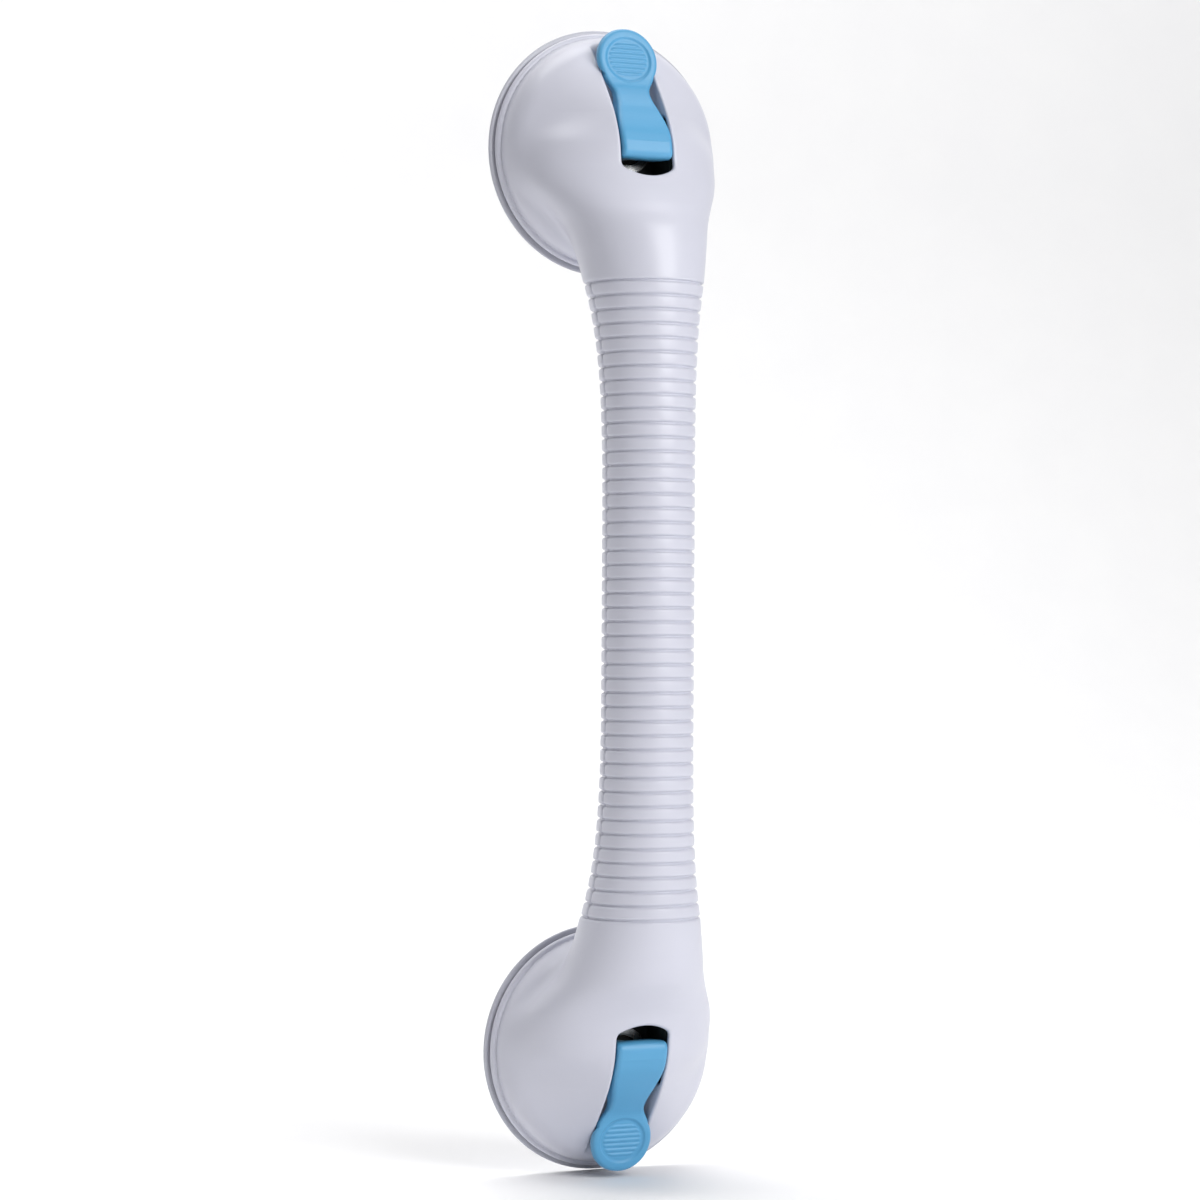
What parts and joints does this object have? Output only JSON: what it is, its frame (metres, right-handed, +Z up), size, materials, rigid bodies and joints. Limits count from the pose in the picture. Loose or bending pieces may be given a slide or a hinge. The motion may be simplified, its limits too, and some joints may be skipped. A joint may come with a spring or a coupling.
{
  "type": "suction grab bar",
  "caption": "Wall grab bar with a ribbed round grip between two domed suction cup housings, each locked by a flip-up cam lever.",
  "frame": {"origin": "centre of the lower cup's sealing face, on the wall plane", "axes": "+Z up the bar from the lower cup to the upper one; the wall is the plane y = 0 and +Y points into it; +X to the right of a person facing the wall"},
  "size_m": [0.1, 0.0661, 0.465],
  "materials": {
    "housing_abs": "satin",
    "grip_abs": "satin",
    "lever_abs": "satin",
    "cup_rubber": "satin",
    "black_acetal": "matte",
    "zinc_steel": "bright",
    "stainless_steel": "bright",
    "spring_steel": "bright",
    "tube_aluminium": "mill"
  },
  "bodies": {
    "bar": {"upper_housing": "housing_abs", "lower_housing": "housing_abs", "grip_front_shell": "grip_abs", "grip_back_shell": "grip_abs", "core_tube": "tube_aluminium", "grip_screws": "zinc_steel", "upper_base_plate": "housing_abs", "lower_base_plate": "housing_abs", "upper_base_screws": "zinc_steel", "lower_base_screws": "zinc_steel", "upper_suction_cup": "cup_rubber", "lower_suction_cup": "cup_rubber", "upper_return_spring": "spring_steel", "lower_return_spring": "spring_steel", "upper_guide_block": "black_acetal", "lower_guide_block": "black_acetal", "upper_thrust_washer": "stainless_steel", "lower_thrust_washer": "stainless_steel"},
    "upper_plunger_body": {"upper_plunger": "black_acetal", "upper_lever_pin": "stainless_steel"},
    "lower_plunger_body": {"lower_plunger": "black_acetal", "lower_lever_pin": "stainless_steel"},
    "upper_lever_body": {"upper_lever": "lever_abs"},
    "lower_lever_body": {"lower_lever": "lever_abs"}
  },
  "joints": [
    {"name": "upper_plunger_slide", "type": "slide", "parent": "bar", "child": "upper_plunger_body", "axis": [0, 1, 0], "range_m": [0, 0.003], "deforming": ["upper_suction_cup", "upper_return_spring"]},
    {"name": "upper_lever_hinge", "type": "hinge", "parent": "upper_plunger_body", "child": "upper_lever_body", "pos_m": [0, -0.036, 0.365], "axis": [1, 0, 0], "range_deg": [0, 80]},
    {"name": "lower_plunger_slide", "type": "slide", "parent": "bar", "child": "lower_plunger_body", "axis": [0, 1, 0], "range_m": [0, 0.003], "deforming": ["lower_suction_cup", "lower_return_spring"]},
    {"name": "lower_lever_hinge", "type": "hinge", "parent": "lower_plunger_body", "child": "lower_lever_body", "pos_m": [0, -0.036, 0], "axis": [-1, 0, 0], "range_deg": [0, 80]}
  ],
  "couplings": [
    {"joint": "upper_plunger_slide", "follows": "upper_lever_hinge", "m_per_rad": 0.002148},
    {"joint": "lower_plunger_slide", "follows": "lower_lever_hinge", "m_per_rad": 0.002148}
  ]
}
